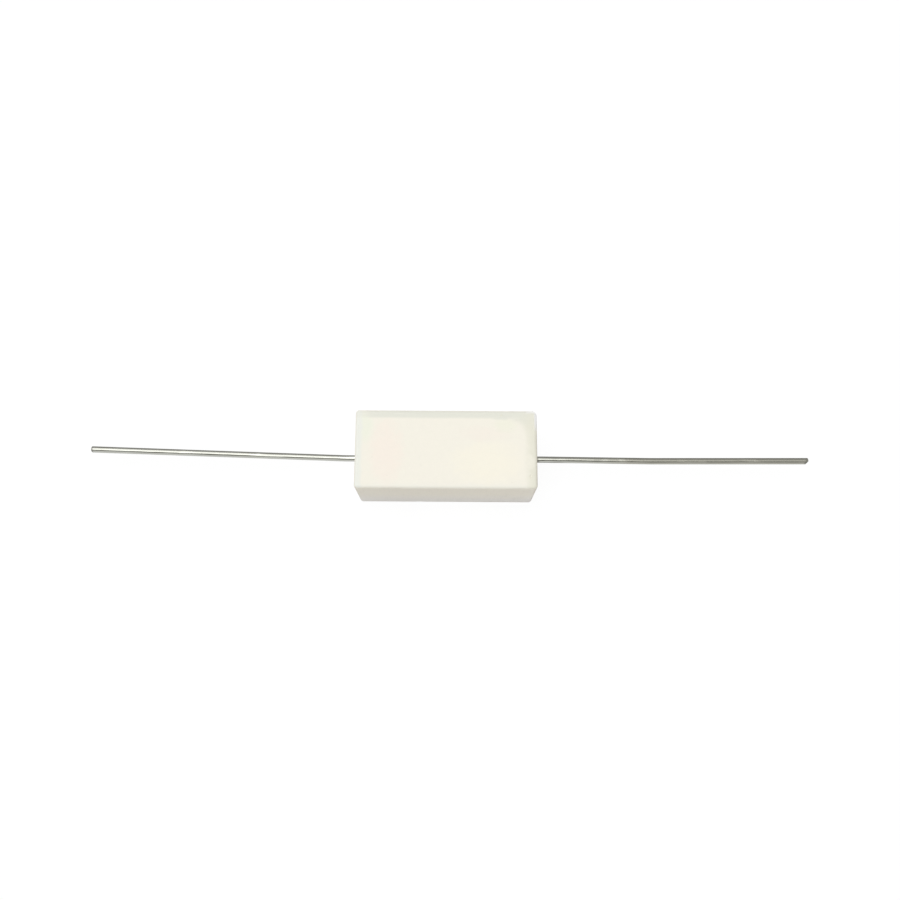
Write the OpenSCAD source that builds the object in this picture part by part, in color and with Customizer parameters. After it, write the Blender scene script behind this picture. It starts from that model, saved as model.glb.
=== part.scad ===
// Axial wirewound power resistor in a pressed ceramic case, lying on its open side.
// X runs along the case, Y across it and Z up. The origin is the centre of the case's underside.

/* [Ceramic case] */
// Length of the case between its end faces
case_length = 22; // [20:0.5:30]
// Width of the case
case_width = 9.7; // [8.6:0.1:12]
// Height of the case from the open rim to the closed face
case_height = 9; // [8.2:0.1:12]
// Thickness of the long side walls at the rim
side_wall = 1.1; // [0.8:0.05:1.3]
// Thickness of the end walls at the rim
end_wall = 1.3; // [0.9:0.05:1.5]
// Thickness of the closed face
floor_thickness = 1.3; // [0.8:0.05:1.8]
// Radius of the four outer upright corners
corner_radius = 0.55; // [0.45:0.05:1]
// Radius of the edges round the closed face
edge_radius = 0.35; // [0.25:0.05:0.45]
// Radius of the outer edges round the open rim
rim_radius = 0.2; // [0.05:0.05:0.3]
// Draft of the trough's walls
draft_angle = 1.5; // [0.5:0.1:2.5]
// Radius of the trough's upright corners
trough_corner_radius = 1.2; // [0.8:0.05:1.5]
// Bevel between the trough's walls and its bottom
trough_bevel = 0.4; // [0.2:0.05:0.4]
// Width of the slot for the lead in each end wall
slot_width = 1.4; // [1.2:0.05:2]

/* [Cement fill] */
// Depth of the cement below the rim along the walls
cement_recess = 0.2; // [0.1:0.05:0.5]
// Further depth of the cement midway between the walls
cement_dish = 0.12; // [0.06:0.02:0.3]
// Depth of the cement in the slots behind the end faces
plug_recess = 0.15; // [0.05:0.05:0.4]

/* [Core rod] */
// Diameter of the rod
core_diameter = 3.6; // [3:0.1:3.8]
// Length of the rod
core_length = 15.6; // [13:0.2:16]
// Bevel round the rod's ends
core_bevel = 0.25; // [0.1:0.05:0.4]

/* [Resistance winding] */
// Diameter of the resistance wire
wire_diameter = 0.3; // [0.2:0.02:0.34]
// Distance from one turn to the next
winding_pitch = 0.8; // [0.6:0.05:1.2]
// Bare length of rod beyond the last turn at each end
winding_margin = 1; // [0.6:0.1:2]
// Running clearance of the wire to the rod and to the caps
wire_clearance = 0.01; // [0.005:0.005:0.03]

/* [End caps] */
// Outside length of each cap
cap_length = 3.6; // [2.8:0.1:4.4]
// Thickness of the caps' sheet steel
cap_wall = 0.25; // [0.15:0.05:0.3]
// Outer radius between a cap's side and its closed end
cap_corner_radius = 0.45; // [0.35:0.05:0.7]
// How far the cap's mouth flares out
cap_flare = 0.1; // [0.04:0.02:0.16]
// Length of the flare along the cap
cap_flare_length = 0.35; // [0.2:0.05:0.6]

/* [Leads] */
// Diameter of the lead wires
lead_diameter = 0.8; // [0.6:0.05:1]
// Height of the leads above the open rim
lead_height = 3.5; // [3.3:0.05:4.4]
// Diameter of the weld upset against each cap
weld_diameter = 1.6; // [1.2:0.1:2.2]
// Length of the weld upset along the lead
weld_length = 0.4; // [0.2:0.05:0.6]
// Length of the left lead outside the case
left_lead_length = 33.7; // [20:0.1:40]
// Length of the right lead outside the case
right_lead_length = 34.5; // [20:0.1:40]
// Distance of the left lead's bend from the case
left_bend_distance = 1.5; // [1:0.1:10]
// Angle of the left lead's bend, towards +Y
left_bend_angle = 1.7; // [0.5:0.1:6]
// Distance of the right lead's first bend from the case
right_first_bend_distance = 1.5; // [1:0.1:4]
// Angle of the right lead's first bend, towards -Y
right_first_bend_angle = 0.5; // [0.3:0.1:4]
// Distance from the right lead's first bend to its second one
right_second_bend_distance = 13; // [3:0.1:16]
// Angle of the right lead's second bend, towards +Y
right_second_bend_angle = 0.9; // [0.5:0.1:6]
// Radius of the bends at the middle of the wire
bend_radius = 12; // [4:1:20]
// How much the wire's radius is drawn down in its bends
bend_thinning = 0.01; // [0.01:0.005:0.03]
// Size of the corner that the cutter left off the left tip
left_tip_bevel = 0.12; // [0.05:0.01:0.3]
// Size of the corner that the cutter left off the right tip
right_tip_bevel = 0.3; // [0.05:0.01:0.4]

/* [Hidden] */

// How far a cutting shape runs past what it cuts
overrun = 1;

// How far the trough's upright corners stand outside its walls at the rim
corner_lap = 0.1;

// The trough's half sizes at the rim, and its depth
trough_half_length = case_length / 2 - end_wall;
trough_half_width = case_width / 2 - side_wall;
trough_depth = case_height - floor_thickness;

// The radius at which the dished cement meets both long walls
dish_radius = (pow(trough_half_width, 2) + pow(cement_dish, 2)) / (2 * cement_dish);
dish_fragments = 360;

// The winding is a chain of straight steps, so its middle line lies a little farther out
core_radius = core_diameter / 2;
turn_steps = 20;
wire_sides = 8;
wire_radius = wire_diameter / 2;
winding_radius = (core_radius + wire_clearance) / cos(180 / turn_steps) + wire_radius;
winding_length = core_length - 2 * winding_margin;
winding_steps = round(winding_length / winding_pitch * turn_steps);
winding_angle = atan(winding_pitch / (2 * PI * winding_radius));

// The caps close on the winding and seat against the rod's ends
cap_bore_radius = winding_radius + wire_radius + wire_clearance;
cap_radius = cap_bore_radius + cap_wall;
cap_bore_length = cap_length - cap_wall;
cap_mouth = core_length / 2 - cap_bore_length;

// Each lead starts on its cap's closed end
lead_radius = lead_diameter / 2;
lead_start = core_length / 2 + cap_wall;

// How far a bend reaches into the straight wire on each side of it
bend_lap = 0.1;

$fn = 48;

// Turns a shape that stands on Z so that it lies along X
module along_x() {
    rotate([90, 0, 90]) children();
}

// Copies a shape to both ends of the case
module at_both_ends() {
    children();
    mirror([1, 0, 0]) children();
}

// A rectangle on the X axis whose lower and upper corners are rounded
module rounded_outline(width, height, lower_radius, upper_radius) {
    translate([-width / 2, lower_radius]) square([width, height - lower_radius - upper_radius]);
    translate([-width / 2 + lower_radius, 0]) square([width - 2 * lower_radius, height / 2]);
    translate([-width / 2 + upper_radius, height / 2]) square([width - 2 * upper_radius, height / 2]);
    for (side = [-1, 1]) {
        translate([side * (width / 2 - lower_radius), lower_radius]) circle(lower_radius);
        translate([side * (width / 2 - upper_radius), height - upper_radius]) circle(upper_radius);
    }
}

// The outer block: its plan, long side and end outlines where they all hold
module case_block() {
    intersection() {
        translate([0, -case_width / 2, 0])
            linear_extrude(case_height)
                rounded_outline(case_length, case_width, corner_radius, corner_radius);
        rotate([90, 0, 0])
            linear_extrude(case_width + overrun, center = true)
                rounded_outline(case_length, case_height, rim_radius, edge_radius);
        along_x()
            linear_extrude(case_length + overrun, center = true)
                rounded_outline(case_width, case_height, rim_radius, edge_radius);
    }
}

// Half of the trough's section, from below the rim to its bottom, for a half size at the rim
function trough_section(half) = [
    [0, -overrun],
    [half + overrun * tan(draft_angle), -overrun],
    [half - (trough_depth - trough_bevel) * tan(draft_angle), trough_depth - trough_bevel],
    [half - (trough_depth - trough_bevel) * tan(draft_angle) - trough_bevel, trough_depth],
    [0, trough_depth]
];

// The same section on both sides of the middle
module trough_outline(half) {
    polygon(trough_section(half));
    mirror([1, 0]) polygon(trough_section(half));
}

// The drafted trough: where its long section, its end section and its round-cornered plan all hold
module trough() {
    intersection() {
        along_x()
            linear_extrude(case_length, center = true) trough_outline(trough_half_width);
        rotate([90, 0, 0])
            linear_extrude(case_width, center = true) trough_outline(trough_half_length);
        translate([0, -trough_half_width - corner_lap, -2 * overrun])
            linear_extrude(case_height + 2 * overrun)
                rounded_outline(2 * (trough_half_length + corner_lap), 2 * (trough_half_width + corner_lap),
                                trough_corner_radius, trough_corner_radius);
    }
}

// The lead slots of both end walls, in one run through the case
module lead_slots(length) {
    along_x() linear_extrude(length, center = true) {
        translate([-slot_width / 2, -overrun]) square([slot_width, lead_height + overrun]);
        translate([0, lead_height]) circle(slot_width / 2);
    }
}

module ceramic_case() {
    color([0.94, 0.92, 0.86]) difference() {
        case_block();
        trough();
        lead_slots(case_length + 2 * overrun);
    }
}

// The cement's open surface, a shallow dish along the case
module cement_dish_cut() {
    translate([0, 0, cement_recess + cement_dish - dish_radius])
        rotate([0, 90, 0])
            cylinder(r = dish_radius, h = case_length + 2 * overrun, center = true, $fn = dish_fragments);
}

// The room that the element takes up in the cement
module element_room() {
    translate([0, 0, lead_height]) rotate([0, 90, 0])
        cylinder(r = cap_bore_radius, h = 2 * cap_mouth, center = true);
    at_both_ends() at_cap() rotate_extrude() cap_outer_outline();
    at_both_ends() lead_root();
}

module cement_fill() {
    color([0.86, 0.85, 0.81]) difference() {
        union() {
            trough();
            lead_slots(case_length - 2 * plug_recess);
        }
        cement_dish_cut();
        element_room();
    }
}

module core_rod() {
    color([0.95, 0.94, 0.9])
        translate([0, 0, lead_height]) rotate([0, 90, 0]) rotate_extrude() polygon([
            [0, -core_length / 2],
            [core_radius - core_bevel, -core_length / 2],
            [core_radius, -core_length / 2 + core_bevel],
            [core_radius, core_length / 2 - core_bevel],
            [core_radius - core_bevel, core_length / 2],
            [0, core_length / 2]
        ]);
}

// A point on the wire's surface: the turn angle sets the ring, the side angle the place on it
function wire_point(turn, side) = [
    winding_pitch * turn / 360 - winding_pitch * winding_steps / turn_steps / 2
        + wire_radius * sin(side) * cos(winding_angle),
    (winding_radius + wire_radius * cos(side)) * cos(turn)
        + wire_radius * sin(side) * sin(winding_angle) * sin(turn),
    (winding_radius + wire_radius * cos(side)) * sin(turn)
        - wire_radius * sin(side) * sin(winding_angle) * cos(turn)
];

module resistance_winding() {
    points = [for (step = [0 : winding_steps], side = [0 : wire_sides - 1])
        wire_point(step * 360 / turn_steps, side * 360 / wire_sides)];
    walls = [for (step = [0 : winding_steps - 1], side = [0 : wire_sides - 1])
        let (next = (side + 1) % wire_sides, ring = step * wire_sides)
            [ring + side, ring + next, ring + wire_sides + next, ring + wire_sides + side]];
    first_end = [for (side = [wire_sides - 1 : -1 : 0]) side];
    last_end = [for (side = [0 : wire_sides - 1]) winding_steps * wire_sides + side];
    color([0.55, 0.55, 0.53])
        translate([0, 0, lead_height])
            polyhedron(points, concat(walls, [first_end, last_end]));
}

// A cup's section on its axis, with a round corner at its closed end
module cup_outline(radius, length, corner) {
    square([radius - corner, length]);
    square([radius, length - corner]);
    translate([radius - corner, length - corner]) circle(corner);
}

module cap_outer_outline() {
    cup_outline(cap_radius, cap_length, cap_corner_radius);
    polygon([[0, 0], [cap_radius + cap_flare, 0], [cap_radius, cap_flare_length], [0, cap_flare_length]]);
}

module cap_bore_outline() {
    cup_outline(cap_bore_radius, cap_bore_length, cap_corner_radius - cap_wall);
    polygon([
        [0, -overrun],
        [cap_bore_radius + cap_flare, -overrun],
        [cap_bore_radius + cap_flare, 0],
        [cap_bore_radius, cap_flare_length],
        [0, cap_flare_length]
    ]);
}

// Places a revolved cup on the right end of the rod, its mouth towards the middle
module at_cap() {
    translate([cap_mouth, 0, lead_height]) rotate([0, 90, 0]) children();
}

module end_cap() {
    color([0.72, 0.72, 0.7]) at_cap() rotate_extrude() difference() {
        cap_outer_outline();
        cap_bore_outline();
    }
}

module left_end_cap() {
    mirror([1, 0, 0]) end_cap();
}

module right_end_cap() {
    end_cap();
}

// The lead from its weld on the cap to a place outside the case
module lead_run(length) {
    translate([lead_start, 0, lead_height]) rotate([0, 90, 0]) {
        cylinder(r1 = weld_diameter / 2, r2 = lead_radius, h = weld_length);
        cylinder(r = lead_radius, h = length);
    }
}

module lead_root() {
    lead_run(case_length / 2 - lead_start + overrun);
}

// A bend towards +Y, round a point beside the wire
module lead_bend(angle) {
    lap_angle = bend_lap / bend_radius * 180 / PI;
    translate([0, bend_radius, 0])
        rotate([0, 0, -90 - lap_angle])
            rotate_extrude(angle = angle + 2 * lap_angle)
                translate([bend_radius, 0]) circle(lead_radius - bend_thinning);
}

// The wire from one place on: straight to its first bend, round it and on to the tip.
// Each bend is [the straight run before it, its angle towards +Y].
module lead_course(length, bends, bevel) {
    if (len(bends) == 0) {
        lead_tip(length, bevel);
    } else {
        run = bends[0][0];
        angle = bends[0][1];
        rest = [for (place = [1 : 1 : len(bends) - 1]) bends[place]];
        rotate([0, 90, 0]) cylinder(r = lead_radius, h = run);
        translate([run, 0, 0]) {
            mirror([0, angle < 0 ? 1 : 0, 0]) lead_bend(abs(angle));
            translate([bend_radius * sin(abs(angle)), sign(angle) * bend_radius * (1 - cos(angle)), 0])
                rotate([0, 0, angle])
                    lead_course(length - run - bend_radius * abs(angle) * PI / 180, rest, bevel);
        }
    }
}

// The straight end of the wire, with the corner that the cutter took off
module lead_tip(length, bevel) {
    difference() {
        rotate([0, 90, 0]) cylinder(r = lead_radius, h = length);
        translate([length, bevel - lead_radius, -lead_diameter])
            rotate([0, 0, -135])
                cube([2 * lead_diameter, lead_diameter, 2 * lead_diameter]);
    }
}

module lead(length, bends, bevel) {
    color([0.74, 0.74, 0.73]) {
        lead_run(case_length / 2 - lead_start + bend_lap);
        translate([case_length / 2, 0, lead_height]) lead_course(length, bends, bevel);
    }
}

module left_lead() {
    mirror([1, 0, 0]) lead(left_lead_length, [[left_bend_distance, left_bend_angle]], left_tip_bevel);
}

module right_lead() {
    bends = [
        [right_first_bend_distance, -right_first_bend_angle],
        [right_second_bend_distance, right_second_bend_angle]
    ];
    lead(right_lead_length, bends, right_tip_bevel);
}

ceramic_case();
cement_fill();
core_rod();
resistance_winding();
left_end_cap();
right_end_cap();
left_lead();
right_lead();
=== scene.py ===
"""Looks of an axial wirewound resistor in a ceramic case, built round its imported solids."""

import logging
import math
from dataclasses import dataclass, field
from enum import Enum
from functools import reduce
from typing import Callable, Iterable, Optional, Sequence

import bmesh
import bpy
from mathutils import Matrix, Vector, noise


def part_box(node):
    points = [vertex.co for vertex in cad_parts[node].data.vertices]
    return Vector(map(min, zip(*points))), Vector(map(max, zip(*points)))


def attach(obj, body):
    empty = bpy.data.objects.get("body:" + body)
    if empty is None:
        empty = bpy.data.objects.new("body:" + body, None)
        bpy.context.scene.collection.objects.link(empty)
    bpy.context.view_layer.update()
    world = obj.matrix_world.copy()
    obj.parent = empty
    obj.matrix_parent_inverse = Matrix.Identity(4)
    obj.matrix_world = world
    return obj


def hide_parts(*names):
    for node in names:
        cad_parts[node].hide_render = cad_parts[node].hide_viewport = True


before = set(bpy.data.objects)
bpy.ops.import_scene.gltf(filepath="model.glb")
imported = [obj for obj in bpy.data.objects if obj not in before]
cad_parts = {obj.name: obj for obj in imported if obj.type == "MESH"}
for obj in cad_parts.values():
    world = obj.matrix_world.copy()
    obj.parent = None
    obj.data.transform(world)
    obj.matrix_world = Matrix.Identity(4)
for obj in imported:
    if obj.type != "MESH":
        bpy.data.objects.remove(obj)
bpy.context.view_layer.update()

MM = 0.001
BODY = "root"
LEAD_HEIGHT = 3.5 * MM
LEAD_RADIUS = 0.4 * MM
SLOT_WIDTH = 1.4 * MM
DRAFT = math.radians(1.5)
OVERSHOOT = 1 * MM
MERGE_DISTANCE = 0.5e-6
BISECT_DISTANCE = 1e-7
SMOOTH_ANGLE = math.radians(32)
ALONG = 0.9
GRAIN_SPAN = (0.3, 0.7)
log = logging.getLogger("resistor")

Colour = tuple[float, float, float]
Range = tuple[float, float]
Fade = tuple[float, float, float, float]
Test = Callable[[Vector, Vector], bool]
Piece = bpy.types.Object
Material = bpy.types.Material
Tree = bpy.types.NodeTree
Node = bpy.types.Node
Socket = bpy.types.NodeSocket
Sockets = bpy.types.bpy_prop_collection


def linear(red: int, green: int, blue: int) -> Colour:
    """A linear colour from its eight-bit screen values.

    Args:
        red: Red, 0 to 255.
        green: Green, 0 to 255.
        blue: Blue, 0 to 255.

    Returns:
        The colour as three linear values.
    """
    def channel(value: int) -> float:
        """One channel, made linear."""
        share = value / 255
        return share / 12.92 if share <= 0.04045 else ((share + 0.055) / 1.055) ** 2.4

    return channel(red), channel(green), channel(blue)


class End(Enum):
    """The two ends of the resistor, by their direction along X."""

    LEFT = -1
    RIGHT = 1


class Part(Enum):
    """The parts of a mesh that can be picked."""

    FACE = "FACE"
    EDGE = "EDGE"


# Mesh tools

def select_only(piece: Piece) -> None:
    """Makes one object the active one and the only one selected.

    Args:
        piece: The object.
    """
    if bpy.context.object and bpy.context.object.mode != "OBJECT":
        bpy.ops.object.mode_set(mode="OBJECT")
    bpy.ops.object.select_all(action="DESELECT")
    piece.select_set(True)
    bpy.context.view_layer.objects.active = piece


def settle(piece: Piece) -> None:
    """Puts an object's place, turn and scale into its mesh."""
    select_only(piece)
    bpy.ops.object.transform_apply(location=True, rotation=True, scale=True)


def pick(piece: Piece, part: Part, wanted: Test) -> int:
    """Selects faces or edges of a piece by their middle and their direction.

    Args:
        piece: The object to work on, left in edit mode.
        part: Faces or edges.
        wanted: Takes the middle and the normal of a face, or the middle and the direction of an edge.

    Returns:
        How many were selected.
    """
    select_only(piece)
    bpy.ops.object.mode_set(mode="EDIT")
    bpy.ops.mesh.select_mode(type=part.value)
    bpy.ops.mesh.select_all(action="DESELECT")
    mesh = bmesh.from_edit_mesh(piece.data)
    if part is Part.FACE:
        found = [face for face in mesh.faces if wanted(face.calc_center_median(), face.normal)]
    else:
        ends = [(edge, *(vertex.co for vertex in edge.verts)) for edge in mesh.edges]
        found = [edge for edge, a, b in ends if wanted((a + b) / 2, (b - a).normalized())]
    for element in found:
        element.select_set(True)
    mesh.select_flush_mode()
    bmesh.update_edit_mesh(piece.data)
    return len(found)


def leave_edit() -> None:
    """Goes back to object mode."""
    bpy.ops.object.mode_set(mode="OBJECT")


def extrude(move: Sequence[float]) -> None:
    """Extrudes what is selected by a move."""
    bpy.ops.mesh.extrude_region_move(TRANSFORM_OT_translate={"value": move})


def resize(value: Sequence[float], centre: Sequence[float]) -> None:
    """Scales what is selected about a point."""
    bpy.ops.transform.resize(value=value, center_override=centre)


def bevel_edges(piece: Piece, wanted: Test, offset: float, segments: int) -> None:
    """Rounds the edges that a test picks.

    Args:
        piece: The object to work on.
        wanted: The test for pick().
        offset: The radius.
        segments: Steps round the curve.
    """
    if pick(piece, Part.EDGE, wanted):
        bpy.ops.mesh.bevel(offset=offset, segments=segments, affect="EDGES", clamp_overlap=True)
    leave_edit()


def apply_modifier(piece: Piece, kind: str, **settings: object) -> None:
    """Adds a modifier to a piece and applies it.

    Args:
        piece: The object to work on.
        kind: Blender's name of the modifier.
        settings: The modifier's values.
    """
    select_only(piece)
    modifier = piece.modifiers.new(kind.lower(), kind)
    for name, value in settings.items():
        setattr(modifier, name, value)
    bpy.ops.object.modifier_apply(modifier=modifier.name)


def cut(piece: Piece, cutter: Piece) -> None:
    """Cuts a piece with another object, which is used up."""
    apply_modifier(piece, "BOOLEAN", operation="DIFFERENCE", object=cutter, solver="EXACT")
    bpy.data.objects.remove(cutter)


def join(piece: Piece, other: Piece) -> None:
    """Makes another object one body with a piece."""
    apply_modifier(piece, "BOOLEAN", operation="UNION", object=other, solver="EXACT")
    bpy.data.objects.remove(other)


def add_shape(name: str, operator: Callable[..., object], **settings: object) -> Piece:
    """Adds an object with nothing else selected.

    Args:
        name: The object's name.
        operator: Blender's operator that adds it.
        settings: The operator's values.

    Returns:
        The new object.
    """
    bpy.ops.object.select_all(action="DESELECT")
    operator(**settings)
    piece = bpy.context.object
    piece.name = name
    return piece


def block(name: str, low: Vector, high: Vector) -> Piece:
    """A box between two corners.

    Args:
        name: The object's name.
        low: Its lowest corner.
        high: Its highest corner.

    Returns:
        The new object.
    """
    piece = add_shape(name, bpy.ops.mesh.primitive_cube_add, size=1, location=(low + high) / 2)
    piece.scale = high - low
    settle(piece)
    return piece


def rod(name: str, start: Vector, end: Vector, radius: float, sides: int) -> Piece:
    """A round bar between two points.

    Args:
        name: The object's name.
        start: Middle of the first end.
        end: Middle of the second end.
        radius: Its radius.
        sides: Sides round it.

    Returns:
        The new object.
    """
    along = end - start
    piece = add_shape(name, bpy.ops.mesh.primitive_cone_add, vertices=sides, radius1=radius,
                      radius2=radius, depth=along.length, location=(start + end) / 2)
    piece.rotation_mode = "QUATERNION"
    piece.rotation_quaternion = along.to_track_quat("Z", "Y")
    settle(piece)
    return piece


def axis_rod(name: str, start: float, stop: float, radius: float, sides: int) -> Piece:
    """A round bar on the leads' axis, between two places along X."""
    return rod(name, Vector((start, 0, LEAD_HEIGHT)), Vector((stop, 0, LEAD_HEIGHT)), radius, sides)


def slot_bar(start: float, stop: float, foot: float, sides: int = 32) -> Piece:
    """A bar along X in the shape of a lead's slot: upright walls and a round top.

    Args:
        start: Where it begins along X.
        stop: Where it ends along X, on either side of the start.
        foot: The height of its foot.
        sides: Sides round its top, as of a whole circle.

    Returns:
        The new object.
    """
    radius = SLOT_WIDTH / 2
    bar = block("slot_bar", Vector((min(start, stop), -radius, foot)),
                Vector((max(start, stop), radius, LEAD_HEIGHT)))
    join(bar, axis_rod("slot_top", start, stop, radius, sides))
    return bar


def pebble(name: str, centre: Vector, radii: Vector, seed: float, rate: float = 1.7,
           depth: float = 0.45) -> Piece:
    """A small uneven ball, used to chip an edge or leave a pit.

    Args:
        name: The object's name.
        centre: Its middle.
        radii: Its half sizes.
        seed: A number that sets its lumps.
        rate: How close the lumps are.
        depth: How deep they are, as a share of its radius.

    Returns:
        The new object.
    """
    piece = add_shape(name, bpy.ops.mesh.primitive_ico_sphere_add, subdivisions=3, radius=1,
                      location=(0, 0, 0))
    for vertex in piece.data.vertices:
        lump = noise.noise(vertex.co * rate + Vector((seed, 2 * seed, -seed)))
        vertex.co *= 1 + depth * lump
    piece.scale = radii
    piece.location = centre
    settle(piece)
    return piece


def fair(piece: Piece) -> None:
    """Closes a piece's mesh, turns its faces outwards and shades it smooth up to its edges.

    Args:
        piece: The piece to finish.
    """
    select_only(piece)
    bpy.ops.object.mode_set(mode="EDIT")
    bpy.ops.mesh.select_all(action="SELECT")
    bpy.ops.mesh.remove_doubles(threshold=MERGE_DISTANCE)
    bpy.ops.mesh.normals_make_consistent(inside=False)
    bpy.ops.mesh.select_mode(type="FACE")
    bpy.ops.mesh.select_face_by_sides(number=4, type="GREATER", extend=False)
    bpy.ops.mesh.quads_convert_to_tris(quad_method="BEAUTY", ngon_method="BEAUTY")
    leave_edit()
    bpy.ops.object.shade_smooth_by_angle(angle=SMOOTH_ANGLE)


def seat(piece: Piece, node: str) -> None:
    """Lets a piece stand for a node of the frame and reports it.

    Args:
        piece: The finished piece.
        node: The node that it replaces.
    """
    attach(piece, BODY)
    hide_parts(node)
    log.info("%s stands for %s: %d faces", piece.name, node, len(piece.data.polygons))


# Shader tools

class Graph:
    """A node tree that is wired by short calls."""

    # The Mix node's sockets for colours share their names with others, so they go by number.
    MIX_SHARE, MIX_FIRST, MIX_SECOND, MIX_RESULT = 0, 6, 7, 2

    def __init__(self, tree: Tree) -> None:
        """Takes a tree and empties it."""
        self.tree = tree
        tree.nodes.clear()

    def feed(self, socket: Socket, value: object) -> None:
        """Links a socket to an output, or sets its value.

        Args:
            socket: The input to feed.
            value: An output, a number, a vector or a colour.
        """
        if isinstance(value, Socket):
            self.tree.links.new(value, socket)
        elif hasattr(value, "__len__") and socket.type == "RGBA" and len(value) == 3:
            socket.default_value = (*value, 1.0)
        else:
            socket.default_value = value

    def node(self, kind: str, inputs: Optional[dict] = None, **settings: object) -> Node:
        """Adds a node.

        Args:
            kind: Blender's name of the node.
            inputs: What feeds its inputs, by their name or number.
            settings: The node's own settings.

        Returns:
            The node.
        """
        made = self.tree.nodes.new(kind)
        for name, value in settings.items():
            setattr(made, name, value)
        for name, value in (inputs or {}).items():
            self.feed(made.inputs[name], value)
        return made

    def math(self, operation: str, *values: object) -> Socket:
        """The result of a sum on one to three values."""
        return self.node("ShaderNodeMath", dict(enumerate(values)), operation=operation).outputs[0]

    def largest(self, *values: object) -> Socket:
        """The largest of some values."""
        return reduce(lambda result, value: self.math("MAXIMUM", result, value), values)

    def product(self, *values: object) -> Socket:
        """Some values multiplied together."""
        return reduce(lambda result, value: self.math("MULTIPLY", result, value), values)

    def spread(self, value: object, low: object, high: object, to_low: float = 0.0,
               to_high: float = 1.0) -> Socket:
        """A value taken smoothly from one range to another.

        Args:
            value: The value.
            low: Where the first range starts.
            high: Where the first range ends.
            to_low: What it gives at the start.
            to_high: What it gives at the end.

        Returns:
            The new value.
        """
        inputs = {"Value": value, "From Min": low, "From Max": high, "To Min": to_low,
                  "To Max": to_high}
        made = self.node("ShaderNodeMapRange", inputs, interpolation_type="SMOOTHSTEP")
        return made.outputs["Result"]

    def blend(self, share: object, first: object, second: object, how: str = "MIX") -> Socket:
        """Two colours blended.

        Args:
            share: The share of the second one.
            first: The first colour.
            second: The second colour.
            how: Blender's name of the blending.

        Returns:
            The new colour.
        """
        inputs = {self.MIX_SHARE: share, self.MIX_FIRST: first, self.MIX_SECOND: second}
        made = self.node("ShaderNodeMix", inputs, data_type="RGBA", blend_type=how)
        return made.outputs[self.MIX_RESULT]

    def centred(self, value: object, reach: float) -> Socket:
        """A value from 0 to 1 made one that lies evenly round nought."""
        return self.math("MULTIPLY_ADD", value, reach, -reach / 2)

    def shaded(self, colour: object, value: object) -> Socket:
        """A colour multiplied by a value."""
        grey = self.node("ShaderNodeCombineColor", {0: value, 1: value, 2: value})
        return self.blend(1.0, colour, grey.outputs["Color"], "MULTIPLY")

    def split(self, vector: object) -> tuple[Socket, ...]:
        """The three parts of a vector."""
        return tuple(self.node("ShaderNodeSeparateXYZ", {0: vector}).outputs)

    def normal(self) -> tuple[Socket, ...]:
        """The three parts of the surface's direction."""
        return self.split(self.node("ShaderNodeNewGeometry").outputs["Normal"])

    def place(self, scale: Sequence[float] = (1, 1, 1), shift: Sequence[float] = (0, 0, 0)
              ) -> Socket:
        """Object coordinates in millimetres.

        Args:
            scale: What each is multiplied by.
            shift: What is then added.

        Returns:
            The coordinates.
        """
        inputs = {"Vector": self.node("ShaderNodeTexCoord").outputs["Object"],
                  "Scale": [share / MM for share in scale], "Location": shift}
        return self.node("ShaderNodeMapping", inputs).outputs["Vector"]

    def noise(self, where: object, scale: object, detail: float = 3.0, roughness: float = 0.5
              ) -> Socket:
        """Fractal noise from 0 to 1.

        Args:
            where: The coordinates.
            scale: How close its lumps are.
            detail: How many finer layers it has.
            roughness: How strong they are.

        Returns:
            The noise.
        """
        inputs = {"Vector": where, "Scale": scale, "Detail": detail, "Roughness": roughness}
        return self.node("ShaderNodeTexNoise", inputs).outputs["Fac"]

    def cells(self, where: object, scale: object) -> Socket:
        """Distance to scattered points."""
        made = self.node("ShaderNodeTexVoronoi", {"Vector": where, "Scale": scale}, feature="F1")
        return made.outputs["Distance"]

    def group(self, tree: Tree, **values: object) -> Sockets:
        """Places a shared group.

        Args:
            tree: The group.
            values: What feeds its inputs, by name.

        Returns:
            The group's outputs.
        """
        made = self.node("ShaderNodeGroup", node_tree=tree)
        for name, value in values.items():
            self.feed(made.inputs[name.replace("_", " ")], value)
        return made.outputs

    def finish(self, shader: Node, colour: object, roughness: object, height: object,
               depth: float, strength: float) -> None:
        """Feeds a shader what changes over the surface.

        Args:
            shader: The material's main shader.
            colour: The base colour.
            roughness: The roughness.
            height: The relief, from 0 to 1.
            depth: The relief's real depth, in millimetres.
            strength: How strongly it shows.
        """
        bump = self.node("ShaderNodeBump", {"Height": height, "Distance": depth * MM,
                                            "Strength": strength})
        self.feed(shader.inputs["Base Color"], colour)
        self.feed(shader.inputs["Roughness"], roughness)
        self.feed(shader.inputs["Normal"], bump.outputs["Normal"])

    def seen(self) -> Socket:
        """1 where the camera, a reflection or a clear piece shows what this material is on."""
        path = self.node("ShaderNodeLightPath")
        return self.largest(*(path.outputs[f"Is {ray} Ray"]
                              for ray in ("Camera", "Glossy", "Transmission")))

    def end(self, kind: str, plain: Socket, shown: Socket) -> None:
        """Ends a tree with one shader for the light and one for what is seen.

        Args:
            kind: Blender's name of the output node.
            plain: The shader that lights the object.
            shown: The shader that is seen.
        """
        mixed = self.node("ShaderNodeMixShader", {0: self.seen(), 1: plain, 2: shown})
        self.node(kind, {"Surface": mixed.outputs[0]})


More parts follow.
